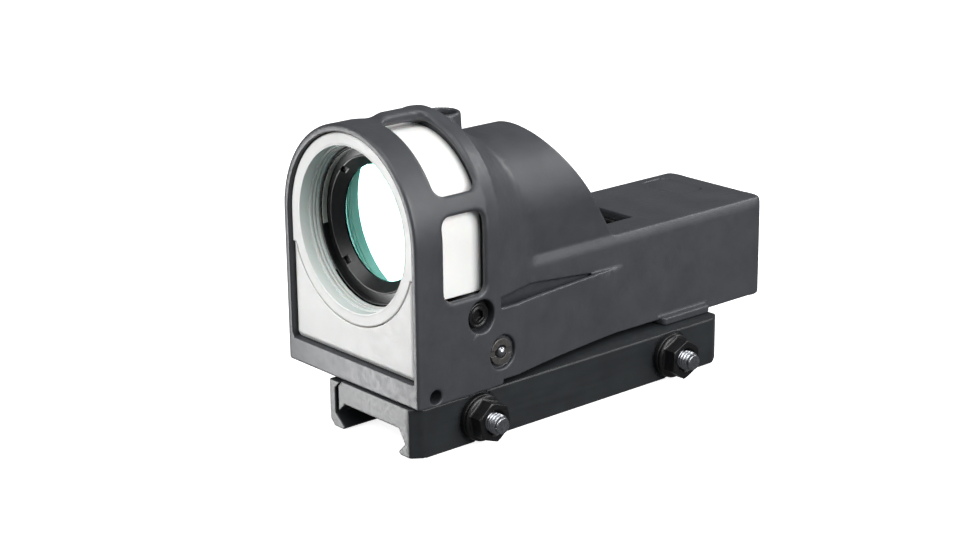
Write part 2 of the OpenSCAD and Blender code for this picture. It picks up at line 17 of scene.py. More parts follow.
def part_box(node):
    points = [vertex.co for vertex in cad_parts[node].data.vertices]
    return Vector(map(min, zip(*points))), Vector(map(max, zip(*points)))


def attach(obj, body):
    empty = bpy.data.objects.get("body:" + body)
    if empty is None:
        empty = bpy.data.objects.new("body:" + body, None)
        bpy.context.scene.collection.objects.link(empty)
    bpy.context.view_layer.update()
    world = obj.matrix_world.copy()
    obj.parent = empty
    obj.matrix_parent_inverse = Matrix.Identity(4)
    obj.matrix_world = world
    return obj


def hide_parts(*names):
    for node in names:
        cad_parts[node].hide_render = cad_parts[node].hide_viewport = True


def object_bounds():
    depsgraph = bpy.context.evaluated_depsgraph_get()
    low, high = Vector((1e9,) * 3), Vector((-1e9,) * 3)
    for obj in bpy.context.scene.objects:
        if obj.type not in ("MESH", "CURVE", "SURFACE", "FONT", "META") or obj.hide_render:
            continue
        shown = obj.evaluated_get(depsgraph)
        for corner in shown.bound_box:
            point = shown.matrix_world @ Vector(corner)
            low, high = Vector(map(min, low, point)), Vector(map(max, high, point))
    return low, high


MM = 0.001

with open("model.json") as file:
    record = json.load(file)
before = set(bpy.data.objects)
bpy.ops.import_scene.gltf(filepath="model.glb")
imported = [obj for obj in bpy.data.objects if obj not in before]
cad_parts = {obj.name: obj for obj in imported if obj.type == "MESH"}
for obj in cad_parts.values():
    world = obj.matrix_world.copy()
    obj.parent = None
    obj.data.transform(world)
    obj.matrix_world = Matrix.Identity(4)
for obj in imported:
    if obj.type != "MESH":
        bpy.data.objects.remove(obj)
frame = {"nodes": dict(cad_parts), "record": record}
cad_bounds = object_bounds()
low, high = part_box("housing")
ORIGIN = np.array([(low[0] + high[0]) / 2, low[1], low[2]])

# ---------------------------------------------------------------- sizes, in millimetres

AXIS_Z = 30.0
HOOP_R, HOOP_LEN, BEVEL_Y, BEVEL = 20.0, 20.4, 17.2, 0.5
CAVITY_R, CAVITY_Y, SILL = 18.5, 17.6, 4.85
CREASE_Y, CREASE_Z, CREASE_LEAN = 27.6, 44.0, 0.275
HOOD_R, HOOD_DRAFT, BORE_R = 14.0, 0.8, 12.6
RIM_Y, RIM_Z, RIM_LEAN = 40.5, 43.8, 0.65
BOX_HALF, BOX_DRAFT, BOX_TOP, TAIL_Y, TAIL_R = 14.0, 0.8, 20.9, 98.9, 4.0
FLARE_Y = [19.4, 25, 31.4, 37.7, 43.8, 57]
FLARE_X = [19.5, 19.3, 18, 16.9, 16, 14.25]
FLARE_TOP, FLARE_FALL = 15.2, 0.7
GAP_Y, GAP_RISE = (20.55, 48.5), 1.9
TURRET_Y, TURRET_TOP = 22.9, 48.95
WINDAGE = (15.4, 14.8)
VALVE = (20.7, 6.5)
TETHER = (4.13, 1.8)
BASE_Y = (-0.6, 80.6)
BASE_X = (-3.7, 19.5)
BOLT_Y = (14.7, 65.3)
BOLT_Z = -4.7
BOLT_R, THREAD_PITCH = 2.0, 0.7
SPOT_R, WASHER_R = 4.9, 4.5
WASHER_X, FLANGE_X, NUT_FACE_X, NUT_HALF = (19.3, 20.5), (20.52, 21.45), 24.2, 3.5
THREAD_END_X, STUD_END_X, DOG_R = 25.62, 26.4, 1.58
HEAD_X, JAW_SPOT_X = (-6.3, -5.4), -5.4
PLATE_Y, PLATE_HALF, SEAM_Z = (0.76, 3.1), 18.3, 24.0
SHELL_R, SHELL_Y, SHELL_FOOT, SHELL_BORE = 17.4, (3.1, 17.5), 18.9, 14.75
MOUTH_R, MOUTH_Y, CUP_R, CUP_Y = 16.4, 5.2, 15.5, 7.8
RETAINER_Y, RETAINER_R = (6.05, 7.95), 13.15
LENS_R, LENS_STEPS = 12.7, 24
JAW_SPRING_Y, JAW_SPRING_Z = (25, 55), -2.8
BASE_SCREW_AT = ((5.6, 8), (5.6, 71.2))
COVER_HALF, COVER_Y = 12.4, (32, 66)
BASE_PROFILE = [(-2.6, 0), (19.25, 0), (19.5, -0.25), (19.5, -9.65), (14.9, -9.65), (14.25, -9.17),
                (16.25, -7.2), (14.6, -4.5), (-1.5, -4.5), (-3.7, -6.4), (-3.7, -1.1)]
JAW_PROFILE = [(-3.05, -0.35), (-6.3, -0.35), (-6.3, -8.4), (-5.05, -9.65), (-2.3, -9.65),
               (-1.85, -9.2), (-4.4, -7), (-4.45, -6.9), (-4.45, -1.75), (-4.05, -1.35)]

# ---------------------------------------------------------------- signed distances


def soft_max(a, b, k):
    h = np.maximum(k - np.abs(a - b), 0) / k
    return np.maximum(a, b) + h * h * (k / 4)


def soft_min(a, b, k):
    return -soft_max(-a, -b, k)


def between(v, v0, v1):
    return np.maximum(v0 - v, v - v1)


def disc(u, v, cu, cv, r):
    return np.hypot(u - cu, v - cv) - r


def round_rect(u, v, u0, u1, v0, v1, r):
    qu = np.abs(u - (u0 + u1) / 2) - (u1 - u0) / 2 + r
    qv = np.abs(v - (v0 + v1) / 2) - (v1 - v0) / 2 + r
    outside = np.hypot(np.maximum(qu, 0), np.maximum(qv, 0))
    return outside + np.minimum(np.maximum(qu, qv), 0) - r


def polygon(u, v, points):
    """Distance to a closed outline, negative inside."""
    best, inside = None, None
    for (au, av), (bu, bv) in zip(points, points[1:] + points[:1]):
        eu, ev = bu - au, bv - av
        t = np.clip(((u - au) * eu + (v - av) * ev) / (eu * eu + ev * ev), 0, 1)
        d = np.hypot(u - au - t * eu, v - av - t * ev)
        best = d if best is None else np.minimum(best, d)
        crosses = (av > v) != (bv > v)
        left = (u - au) < (v - av) * eu / (ev if ev else 1e-9)
        flips = crosses & left
        inside = flips if inside is None else inside ^ flips
    return np.where(inside, -best, best)


def arch_side(x, z):
    """Distance from the optical axis over it, and from its plane under it."""
    return np.where(z > AXIS_Z, np.hypot(x, z - AXIS_Z), np.abs(x))


def bore_x(y, z, at, r):
    return disc(y, z, at[0], at[1], r)


def housing(x, y, z):
    edge = 0.7
    side = arch_side(x, z)
    ax = np.abs(x)
    # hoop with its crown rib
    hoop_r = HOOP_R - BEVEL * np.clip((y - BEVEL_Y) / (HOOP_LEN - BEVEL_Y), 0, 1)
    hoop = soft_max(side - hoop_r, between(y, 0, HOOP_LEN), edge)
    rib = soft_max(disc(x, z, 0, 44.5, 6), between(y, 8.5, 19.5), 1.6)
    solid = soft_min(hoop, rib, 2.2)
    # shoulder that leans down to the hood
    crease = CREASE_Y + (CREASE_Z - z) * CREASE_LEAN
    start_r = HOOP_R - BEVEL
    hood_r = HOOD_R - HOOD_DRAFT * np.clip((AXIS_Z - z) / (AXIS_Z - BOX_TOP), 0, 1)
    slope_r = start_r - (start_r - hood_r) * (y - HOOP_LEN) / (crease - HOOP_LEN)
    shell_r = soft_max(slope_r, hood_r, 0.7)
    rim = (y - RIM_Y - (RIM_Z - z) * RIM_LEAN) / math.hypot(1, RIM_LEAN)
    tunnel = soft_max((side - np.minimum(shell_r, start_r)) * 0.85, rim, 0.45)
    tunnel = np.maximum(tunnel, HOOP_LEN - 1 - y)
    solid = soft_min(solid, tunnel, 0.35)
    # box with drafted sides and chamfered top edges
    drop, cut = 1.4, 0.8
    chamfer = ((ax - BOX_HALF) * drop + (z - BOX_TOP + drop) * cut) / math.hypot(drop, cut)
    low_half = BOX_HALF + BOX_DRAFT
    box = soft_max(ax - low_half + BOX_DRAFT * z / (BOX_TOP - drop), chamfer, 0.4)
    box = soft_max(box, z - BOX_TOP, 0.4)
    plan = round_rect(x, y, -low_half, low_half, 20, TAIL_Y, TAIL_R)
    box = soft_max(box, plan, 0.8)
    solid = soft_min(solid, box, 0.5)
    # flared flanks and the foot over the rear of the rail base
    flare_x = np.interp(y.ravel(), FLARE_Y, FLARE_X).reshape(y.shape).astype(np.float32)
    along = np.clip((y - HOOP_LEN) / (FLARE_Y[-1] - HOOP_LEN), 0, 1)
    flare_top = FLARE_TOP - FLARE_FALL * along
    flare = soft_max((ax - flare_x) * 0.97, z - flare_top, 0.4)
    flare = np.maximum(flare, between(y, HOOP_LEN - 1, FLARE_Y[-1]))
    solid = soft_min(solid, flare, 0.3)
    foot = soft_max(round_rect(x, y, -16.3, 16.3, 67, BASE_Y[1], 1.2), z - 1.6, 0.4)
    solid = soft_min(solid, foot, 0.5)
    # gap behind the lip of each flank
    lip = 0.9
    gap_top = flare_top + GAP_RISE * (1 - (y - GAP_Y[0]) / (GAP_Y[1] - GAP_Y[0]))
    gap = np.maximum(between(y, *GAP_Y), np.maximum(z - gap_top, 11 - z))
    gap = np.maximum(gap, 13.3 - ax)
    gap = np.maximum(gap, np.minimum(ax - flare_x + lip, flare_top - z))
    solid = soft_max(solid, -gap, 0.35)
    # turret
    turret_r = 4.2 - 0.5 * (z - 38) / (TURRET_TOP - 38)
    turret = np.hypot(x, y - TURRET_Y) - turret_r
    solid = soft_min(solid, np.maximum(soft_max(turret, z - TURRET_TOP, 0.6), 38 - z), 0.9)
    # underside
    solid = soft_max(solid, -z, 0.5)
    relief = np.maximum(between(y, 21, 67), z - 0.9)
    solid = soft_max(solid, -relief, 0.3)
    # hollows
    cavity = np.maximum(side - CAVITY_R, np.maximum(SILL - z, y - CAVITY_Y))
    solid = soft_max(solid, -cavity, 0.35)
    core = disc(x, z, 0, AXIS_Z, BORE_R)
    through = np.maximum(core, between(y, CAVITY_Y - 1, 34))
    above = np.maximum(core, np.maximum(BOX_TOP - z, 33 - y))
    solid = soft_max(solid, -np.minimum(through, above), 0.3)
    inside = round_rect(x, y, -12.4, 12.4, 30, TAIL_Y - 2, 1)
    inside = np.maximum(inside, between(z, 2.6, BOX_TOP - 2))
    solid = np.maximum(solid, -inside)
    # light windows through the arch and the sides
    turn = np.arctan2(z - AXIS_Z, ax) * HOOP_R
    over = round_rect(turn, y, math.radians(26) * HOOP_R, math.radians(85) * HOOP_R, 6.7, 16.5, 2.2)
    over = np.maximum(over, between(np.hypot(x, z - AXIS_Z), 16, 23))
    beside = np.maximum(round_rect(y, z, 6.7, 16.5, 19.1, 34.9, 2), 16 - ax)
    solid = soft_max(solid, -np.minimum(over, beside), 1.0)
    # slot for the beam, and a plain panel in the box top
    slot = np.maximum(between(ax, -1, 6.1), between(y, 36, 67.6))
    slot = np.maximum(slot, between(z, BOX_TOP - 3, BOX_TOP + 1))
    solid = soft_max(solid, -slot, 0.3)
    panel = np.maximum(round_rect(x, y, -11, 1, 86.9, 94.1, 1.6), BOX_TOP - 0.25 - z)
    solid = soft_max(solid, -panel, 0.2)
    # bosses, counterbores and holes
    boss = np.maximum(bore_x(y, z, WINDAGE, 3.9), between(x, 14, 19))
    solid = np.minimum(solid, boss)
    bores = np.maximum(bore_x(y, z, WINDAGE, 3.2), 17.3 - x)
    bores = np.minimum(bores, np.maximum(bore_x(y, z, VALVE, 3.3), 18.6 - x))
    bores = np.minimum(bores, np.maximum(bore_x(y, z, TETHER, 1.35), 16 - x))
    solid = soft_max(solid, -bores, 0.45)
    cup = np.maximum(disc(x, y, 0, TURRET_Y, 2.9), 46.2 - z)
    solid = soft_max(solid, -cup, 0.4)
    spots = np.minimum(*[bore_x(y, z, (at, BOLT_Z), SPOT_R) for at in BOLT_Y])
    solid = soft_max(solid, -np.maximum(spots, BASE_X[1] - 0.2 - x), 0.25)
    pan = np.maximum(round_rect(x, y, -COVER_HALF, COVER_HALF, *COVER_Y, 2), z - 1.9)
    return np.maximum(solid, -pan)


def rail_base(x, y, z):
    body = polygon(x, z, BASE_PROFILE)
    plan = np.maximum(between(y, *BASE_Y), x - BASE_X[1])
    front = ((x - BASE_X[1] + 1.7) * 2.4 - (y - BASE_Y[0]) * 1.7) / math.hypot(2.4, 1.7)
    rear = ((x - BASE_X[1] + 1.9) * 2.65 + (y - BASE_Y[1]) * 1.9) / math.hypot(2.65, 1.9)
    body = soft_max(body, soft_max(plan, soft_max(front, rear, 0.3), 0.3), 0.35)
    spots = np.minimum(*[bore_x(y, z, (at, BOLT_Z), SPOT_R) for at in BOLT_Y])
    body = soft_max(body, -np.maximum(spots, BASE_X[1] - 0.2 - x), 0.15)
    bolts = np.minimum(*[bore_x(y, z, (at, BOLT_Z), BOLT_R + 0.1) for at in BOLT_Y])
    body = soft_max(body, -bolts, 0.3)
    for at in BASE_SCREW_AT:
        sunk = np.maximum(disc(x, y, *at, 2.8), z + 2.2)
        body = soft_max(body, -np.minimum(sunk, disc(x, y, *at, 1.6)), 0.2)
    springs = np.minimum(*[bore_x(y, z, (at, JAW_SPRING_Z), 1.2) for at in JAW_SPRING_Y])
    return soft_max(body, -np.maximum(springs, x - 2), 0.2)


def clamp_jaw(x, y, z):
    body = soft_max(polygon(x, z, JAW_PROFILE), between(y, *BASE_Y), 0.3)
    heads = np.minimum(*[bore_x(y, z, (at, BOLT_Z), 3.6) for at in BOLT_Y])
    body = soft_max(body, -np.maximum(heads, x - JAW_SPOT_X), 0.25)
    bolts = np.minimum(*[bore_x(y, z, (at, BOLT_Z), BOLT_R) for at in BOLT_Y])
    return np.maximum(body, -bolts)


def thread_r(x, y, z, cy, cz, r, pitch):
    """Radius of a V thread along X at each point's angle."""
    turn = np.arctan2(z - cz, y - cy) / math.tau
    phase = x / pitch - turn
    phase = phase - np.floor(phase)
    return r - 0.55 * pitch * soft_max(1 - np.abs(2 * phase - 1) * 1.15, np.float32(0.05), 0.3)


def cross_bolt(x, y, z):
    """The front bolt; the rear one is its copy."""
    cy = BOLT_Y[0]
    away = np.hypot(y - cy, z - BOLT_Z)
    thread = (away - thread_r(x, y, z, cy, BOLT_Z, BOLT_R, THREAD_PITCH)) * 0.7
    plain = away - BOLT_R
    shank = np.where(x > 17, thread, plain)
    shank = soft_max(shank, between(x, -5.5, THREAD_END_X), 0.2)
    shank = np.maximum(shank, (away + x - 27.3) * 0.7)
    dog = soft_max(away - DOG_R, between(x, 25, STUD_END_X), 0.25)
    head = soft_max(away - 3.55, between(x, *HEAD_X), 0.25)
    head = soft_max(head, -np.maximum(np.abs(z - BOLT_Z) - 0.5, x + 5.85), 0.12)
    return np.minimum(soft_min(shank, dog, 0.15), head)


def hexagon(u, v, flat):
    """Distance from a hexagon with flats square to v, by its half width across flats."""
    s, c = math.sin(math.pi / 3), math.cos(math.pi / 3)
    return np.maximum(np.abs(v), np.maximum(np.abs(s * u + c * v), np.abs(s * u - c * v))) - flat


def clamp_nut(x, y, z, turn=-0.35):
    """The front nut, with a conical flange and chamfered corners, turned by an angle in radians."""
    u, v = y - BOLT_Y[0], z - BOLT_Z
    away = np.hypot(u, v)
    flange = soft_max(away - WASHER_R + 0.05, between(x, *FLANGE_X), 0.25)
    flange = soft_max(flange, (away * 0.45 + (x - FLANGE_X[1]) * 0.9 - 1.78), 0.25)
    c, s = math.cos(turn), math.sin(turn)
    hexa = hexagon(u * c + v * s, v * c - u * s, NUT_HALF)
    hexa = soft_max(hexa, between(x, 20.6, NUT_FACE_X), 0.14)
    hexa = soft_max(hexa, (away * 0.5 + (x - NUT_FACE_X) * 0.87 - 1.82), 0.12)
    body = soft_min(flange, hexa, 0.3)
    bore = away - BOLT_R - 0.05
    countersink = (away - 2.55 - (x - NUT_FACE_X)) * 0.7
    return soft_max(body, -np.minimum(bore, countersink), 0.1)


def clamp_washer(x, y, z):
    away = np.hypot(y - BOLT_Y[0], z - BOLT_Z)
    body = soft_max(away - WASHER_R, between(x, *WASHER_X), 0.3)
    return soft_max(body, BOLT_R + 0.15 - away, 0.2)


def windage_screw(x, y, z):
    u, v = y - WINDAGE[0], z - WINDAGE[1]
    away = np.hypot(u, v)
    head = soft_max(away - 2.4, between(x, 17.95, 19), 0.3)
    groove = np.hypot(away - 1.75, x - 19.1) - 0.28
    head = soft_max(head, -groove, 0.1)
    socket = np.maximum(hexagon(v, u, 1), 18.2 - x)
    head = soft_max(head, -socket, 0.15)
    thread = (away - thread_r(x, y, z, *WINDAGE, 2, 0.35)) * 0.7
    shank = np.maximum(thread, between(x, 9.2, 18.2))
    tip = soft_max(away - 0.8, between(x, 2.8, 9.4), 0.2)
    return np.minimum(np.minimum(head, shank), tip)


def elevation_screw(x, y, z):
    away = np.hypot(x, y - TURRET_Y)
    head = soft_max(away - 2.7, between(z, 46.95, 48.1), 0.3)
    slot = np.maximum(np.abs(y - TURRET_Y) - 0.35, 47.5 - z)
    head = soft_max(head, -slot, 0.1)
    shank = np.maximum(away - 2, between(z, 43, 47.1))
    tip = soft_max(away - 1, between(z, 42.5, 43.1), 0.2)
    return np.minimum(np.minimum(head, shank), tip)


def purge_valve(x, y, z):
    u, v = y - VALVE[0], z - VALVE[1]
    away = np.hypot(u, v)
    collar = soft_max(away - 2.65, between(x, 18.62, 19.2), 0.3)
    body = np.minimum(collar, np.maximum(away - 2.45, between(x, 15, 18.7)))
    body = soft_max(body, 1.3 - away, 0.15)
    return soft_max(body, -np.maximum(np.abs(v) - 0.5, 18.85 - x), 0.12)


def valve_pin(x, y, z):
    away = np.hypot(y - VALVE[0], z - VALVE[1])
    stem = np.maximum(away - 1.1, between(x, 15.2, 18.7))
    dome = np.hypot(away, x - 18.7) - 1.1
    return np.minimum(stem, dome)


def ring_front(x, y, z):
    """The flat outer part of the collector ring, with its straight arms down to the seam."""
    body = np.maximum(arch_side(x, z) - PLATE_HALF, SEAM_Z + 0.06 - z)
    body = np.minimum(body, disc(x, z, 0, AXIS_Z, 18.25))
    body = soft_max(body, between(y, *PLATE_Y), 0.3)
    return np.maximum(body, 16 - np.hypot(x, z - AXIS_Z))


def front_plate(x, y, z):
    foot, inset = 4.95, 0.9
    plate = round_rect(x, z, -PLATE_HALF, PLATE_HALF, foot, 30, 0.35)
    bevel = round_rect(x, z, inset - PLATE_HALF, PLATE_HALF - inset, foot + inset, 40, 0.3)
    bevel = (bevel - (y - PLATE_Y[0]) * 1.6) * 0.5
    plate = soft_max(soft_max(plate, between(y, *PLATE_Y), 0.15), bevel, 0.2)
    plate = np.maximum(plate, z - SEAM_Z + 0.1)
    return soft_max(plate, 18.42 - np.hypot(x, z - AXIS_Z), 0.15)


def collector_body(x, y, z):
    """The white shell behind the ring, bored in steps for the funnel's end and the lens cell."""
    body = np.maximum(arch_side(x, z) - SHELL_R, SHELL_FOOT - z)
    body = soft_max(body, between(y, *SHELL_Y), 0.3)
    away = np.hypot(x, z - AXIS_Z)
    cup = np.maximum(away - CUP_R, y - CUP_Y)
    mouth = np.maximum(away - MOUTH_R, y - MOUTH_Y)
    return np.maximum(body, -np.minimum(away - SHELL_BORE, np.minimum(cup, mouth)))


# ---------------------------------------------------------------- meshes


def place(points):
    return np.asarray(points) * MM + ORIGIN


def add_object(name, points, faces, normals=None, sharp=None):
    mesh = bpy.data.meshes.new(name)
    mesh.from_pydata(place(points).tolist(), [], faces)
    mesh.shade_smooth()
    if normals is not None:
        mesh.normals_split_custom_set_from_vertices(normals.tolist())
    elif sharp:
        mesh.set_sharp_from_angle(angle=math.radians(sharp))
    piece = bpy.data.objects.new(name, mesh)
    bpy.context.scene.collection.objects.link(piece)
    return piece


def slope(field, p, reach):
    """Unit gradient of a field at points p."""
    out = np.empty_like(p)
    for i in range(3):
        step = np.zeros(3, np.float32)
        step[i] = reach
        out[:, i] = field(*(p + step).T) - field(*(p - step).T)
    return out / np.maximum(np.linalg.norm(out, axis=1, keepdims=True), 1e-9)


def carve(name, field, corner_a, corner_b, step, flat=0.0, copies=((0, 0, 0),)):
    """Meshes a field between two corners, then pulls each point onto the exact surface."""
    axes = [np.arange(a - 3 * step, b + 3 * step, step, dtype=np.float32)
            for a, b in zip(corner_a, corner_b)]
    values = field(*np.meshgrid(*axes, indexing="ij", sparse=True))
    grid = openvdb.FloatGrid(3 * step)
    grid.copyFromArray(np.clip(values, -3 * step, 3 * step).astype(np.float32))
    points, triangles, quads = grid.convertToPolygons(isovalue=0.0, adaptivity=flat)
    points = (points * step + np.array([a[0] for a in axes])).astype(np.float32)
    for _ in range(2):
        pull = np.clip(field(*points.T), -step, step)
        points = points - slope(field, points, step * 0.2) * pull[:, None]
    normals = slope(field, points, step * 0.1)
    corners = triangles if len(triangles) else quads
    a, b, c = (points[corners[:, i]] for i in range(3))
    facing = np.cross(b - a, c - a)
    if np.sum(facing * normals[corners[:, 0]]) < 0:
        triangles, quads = triangles[:, ::-1], quads[:, ::-1]
    faces, every = [], []
    for i, shift in enumerate(copies):
        every.append(points + np.array(shift))
        faces += (triangles + i * len(points)).tolist() + (quads + i * len(points)).tolist()
    return add_object(name, np.concatenate(every), faces, np.tile(normals, (len(copies), 1)))


def turned(name, profile, a0=0.0, sweep=360.0, segments=256, sharp=30):
    """Turns a closed outline of (radius, y) points about the optical axis, angles from +X up."""
    whole = sweep >= 360
    count = segments if whole else segments + 1
    turns = [math.radians(a0 + sweep * i / segments) for i in range(count)]
    points = [(r * math.cos(t), y, AXIS_Z + r * math.sin(t)) for t in turns for r, y in profile]
    n = len(profile)
    area = sum(r0 * y1 - r1 * y0 for (r0, y0), (r1, y1) in zip(profile, profile[1:] + profile[:1]))
    faces = []
    for i in range(segments):
        a, b = i * n, ((i + 1) % count) * n
        for j in range(n):
            k = (j + 1) % n
            faces.append([a + j, b + j, b + k, a + k] if area > 0 else [a + k, b + k, b + j, a + j])
    if not whole:
        first, last = list(range(n)), [segments * n + j for j in range(n)]
        faces += [first, last[::-1]] if area > 0 else [first[::-1], last]
    return add_object(name, points, faces, sharp=sharp)


def tube(name, paths, r, sides=12):
    """Round wires along paths of points."""
    points, faces = [], []
    for path in paths:
        path = np.asarray(path, float)
        along = np.gradient(path, axis=0)
        along /= np.linalg.norm(along, axis=1, keepdims=True)
        side = np.cross(along[0], (0.3, 0.5, 0.81))
        start = len(points)
        for p, d in zip(path, along):
            side = side - d * np.dot(side, d)
            side /= np.linalg.norm(side)
            up = np.cross(d, side)
            points += [p + r * (math.cos(t) * side + math.sin(t) * up)
                       for t in (math.tau * k / sides for k in range(sides))]
        for i in range(len(path) - 1):
            a = start + i * sides
            faces += [[a + k, a + (k + 1) % sides, a + sides + (k + 1) % sides, a + sides + k]
                      for k in range(sides)]
        faces.append([start + k for k in range(sides)][::-1])
        faces.append([len(points) - sides + k for k in range(sides)])
    return add_object(name, points, faces, sharp=50)


def spring_path(centre, axis, length, r, turns):
    """Helix from centre along axis 0 or 2, with closed ends."""
    steps = 20
    path = []
    for i in range(turns * steps + 1):
        s = i / (turns * steps)
        t = math.tau * turns * s
        rise = length * (s + 0.5 / turns * math.sin(math.tau * s) / math.tau)
        ring = [r * math.cos(t), r * math.sin(t)]
        path.append([rise, *ring] if axis == 0 else [*ring, rise])
    return np.array(path) + np.array(centre)


# ---------------------------------------------------------------- materials


class Finish:
    """A procedural material built round one Principled shader."""

    def __init__(self, name, **settings):
        self.material = bpy.data.materials.new(name)
        self.material.use_nodes = True
        self.nodes = self.material.node_tree.nodes
        self.links = self.material.node_tree.links
        self.shader = self.nodes["Principled BSDF"]
        self.where = self.nodes.new("ShaderNodeTexCoord").outputs["Object"]
        for key, value in settings.items():
            self.shader.inputs[key.replace("_", " ")].default_value = value

    def stretched(self, scale):
        node = self.nodes.new("ShaderNodeMapping")
        node.inputs["Scale"].default_value = scale
        self.links.new(self.where, node.inputs["Vector"])
        return node.outputs["Vector"]

    def noise(self, size, detail=2.0, stretch=None):
        """Noise whose features are about size millimetres across."""
        node = self.nodes.new("ShaderNodeTexNoise")
        node.inputs["Scale"].default_value = 1 / (size * MM)
        node.inputs["Detail"].default_value = detail
        self.links.new(self.stretched(stretch) if stretch else self.where, node.inputs["Vector"])
        return node.outputs["Fac"]

    def remap(self, value, low, high, lo_in=0.3, hi_in=0.7):
        node = self.nodes.new("ShaderNodeMapRange")
        node.inputs["From Min"].default_value = lo_in
        node.inputs["From Max"].default_value = hi_in
        node.inputs["To Min"].default_value = low
        node.inputs["To Max"].default_value = high
        self.links.new(value, node.inputs["Value"])
        return node.outputs["Result"]

    def tint(self, value, dark, light):
        node = self.nodes.new("ShaderNodeValToRGB")
        node.color_ramp.elements[0].position = 0.3
        node.color_ramp.elements[1].position = 0.7
        node.color_ramp.elements[0].color = (*dark, 1)
        node.color_ramp.elements[1].color = (*light, 1)
        self.links.new(value, node.inputs["Fac"])
        self.links.new(node.outputs["Color"], self.shader.inputs["Base Color"])
        return self

    def rough(self, value, low, high):
        self.links.new(self.remap(value, low, high), self.shader.inputs["Roughness"])
        return self

    def bump(self, *layers):
        """Layers are (noise output, height in millimetres)."""
        normal = None
        for height, depth in layers:
            node = self.nodes.new("ShaderNodeBump")
            node.inputs["Strength"].default_value = 1.0
            node.inputs["Distance"].default_value = depth * MM
            self.links.new(height, node.inputs["Height"])
            if normal:
                self.links.new(normal, node.inputs["Normal"])
            normal = node.outputs["Normal"]
        self.links.new(normal, self.shader.inputs["Normal"])
        return self


def make_finishes():
    done = {}

    f = Finish("cast_finish", Specular_IOR_Level=0.5)
    f.tint(f.noise(6, 3), (0.036, 0.038, 0.043), (0.045, 0.048, 0.054))
    f.rough(f.noise(1.2, 3), 0.36, 0.48)
    f.bump((f.noise(0.28, 3), 0.012), (f.noise(2.5, 2), 0.02))
    done["cast_finish"] = f

    f = Finish("machined_black", Specular_IOR_Level=0.5)
    f.tint(f.noise(5, 3), (0.012, 0.014, 0.016), (0.018, 0.021, 0.023))
    f.rough(f.noise(0.8, 3, (1, 0.06, 1)), 0.34, 0.46)
    f.bump((f.noise(0.12, 2, (1, 0.03, 1)), 0.003), (f.noise(0.3, 2), 0.003))
    done["machined_black"] = f

    f = Finish("cell_black", Specular_IOR_Level=0.5)
    f.tint(f.noise(2, 3), (0.004, 0.004, 0.005), (0.009, 0.009, 0.010))
    f.rough(f.noise(0.5, 3), 0.28, 0.42)
    f.bump((f.noise(0.15, 2), 0.003))
    done["cell_black"] = f

    f = Finish("white_diffuser", Subsurface_Weight=0.12, Subsurface_Scale=0.001)
    f.tint(f.noise(7, 3), (0.80, 0.80, 0.78), (0.86, 0.86, 0.84))
    f.rough(f.noise(1.5, 3), 0.38, 0.5)
    f.bump((f.noise(0.4, 3), 0.004))
    done["white_diffuser"] = f

    # The grey_ring tone is painted shade: a mid grey that stands for the shaded inner wall of a
    # white split ring.
    f = Finish("grey_ring")
    f.tint(f.noise(2, 3), (0.42, 0.43, 0.40), (0.52, 0.53, 0.49))
    f.rough(f.noise(0.6, 3), 0.34, 0.46)
    f.bump((f.noise(0.25, 3), 0.004))
    done["grey_ring"] = f

    # The light_fibre's green emission is a painted glow: the fibre shines with no lamp on it,
    # standing in for its daylight fluorescence.
    f = Finish("light_fibre", Transmission_Weight=0.35, Roughness=0.12, IOR=1.49,
               Emission_Color=(0.55, 1.0, 0.25, 1), Emission_Strength=0.25)
    f.tint(f.noise(1.5, 3), (0.42, 0.75, 0.20), (0.55, 0.85, 0.30))
    f.bump((f.noise(0.6, 2), 0.004))
    done["light_fibre"] = f

    f = Finish("coated_lens", Transmission_Weight=1.0, Metallic=0.85, IOR=1.6, Roughness=0.015,
               Specular_Tint=(0.1, 1.0, 0.85, 1))
    f.tint(f.noise(30, 1), (0.004, 0.42, 0.35), (0.008, 0.48, 0.40))
    f.bump((f.noise(8, 1), 0.0006))
    done["coated_lens"] = f

    f = Finish("clear_glass", Transmission_Weight=1.0, IOR=1.5, Roughness=0.01)
    f.tint(f.noise(20, 1), (0.90, 0.95, 0.93), (0.94, 0.97, 0.96))
    f.bump((f.noise(9, 1), 0.0008))
    done["clear_glass"] = f

    f = Finish("vial_glass", Transmission_Weight=0.6, IOR=1.5, Roughness=0.08,
               Emission_Color=(0.5, 1.0, 0.6, 1), Emission_Strength=0.4)
    f.tint(f.noise(1, 2), (0.6, 0.95, 0.7), (0.7, 1.0, 0.8))
    f.bump((f.noise(0.5, 2), 0.003))
    done["vial_glass"] = f

    f = Finish("seal_rubber")
    f.tint(f.noise(1.2, 3), (0.010, 0.010, 0.011), (0.018, 0.018, 0.019))
    f.rough(f.noise(0.5, 3), 0.6, 0.8)
    f.bump((f.noise(0.2, 3), 0.01))
    done["seal_rubber"] = f

    f = Finish("black_steel", Metallic=0.35, Specular_IOR_Level=0.6)
    f.tint(f.noise(1.5, 4), (0.005, 0.005, 0.006), (0.011, 0.011, 0.012))
    f.rough(f.noise(0.4, 3), 0.26, 0.42)
    f.bump((f.noise(0.12, 3), 0.004), (f.noise(0.9, 2), 0.006))
    done["black_steel"] = f

    f = Finish("steel", Metallic=1.0)
    f.tint(f.noise(0.9, 4), (0.26, 0.27, 0.29), (0.36, 0.37, 0.39))
    f.rough(f.noise(0.3, 3), 0.22, 0.38)
    f.bump((f.noise(0.1, 3), 0.003))
    done["steel"] = f

    f = Finish("valve_metal", Metallic=0.55)
    f.tint(f.noise(0.8, 4), (0.07, 0.068, 0.064), (0.11, 0.105, 0.10))
    f.rough(f.noise(0.3, 3), 0.34, 0.5)
    f.bump((f.noise(0.12, 3), 0.004))
    done["valve_metal"] = f
    return done


finishes = make_finishes()


def dress(piece, slot, body, *nodes):
    piece.data.materials.clear()
    piece.data.materials.append(finishes[slot].material)
    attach(piece, body)
    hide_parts(*nodes)
    return piece


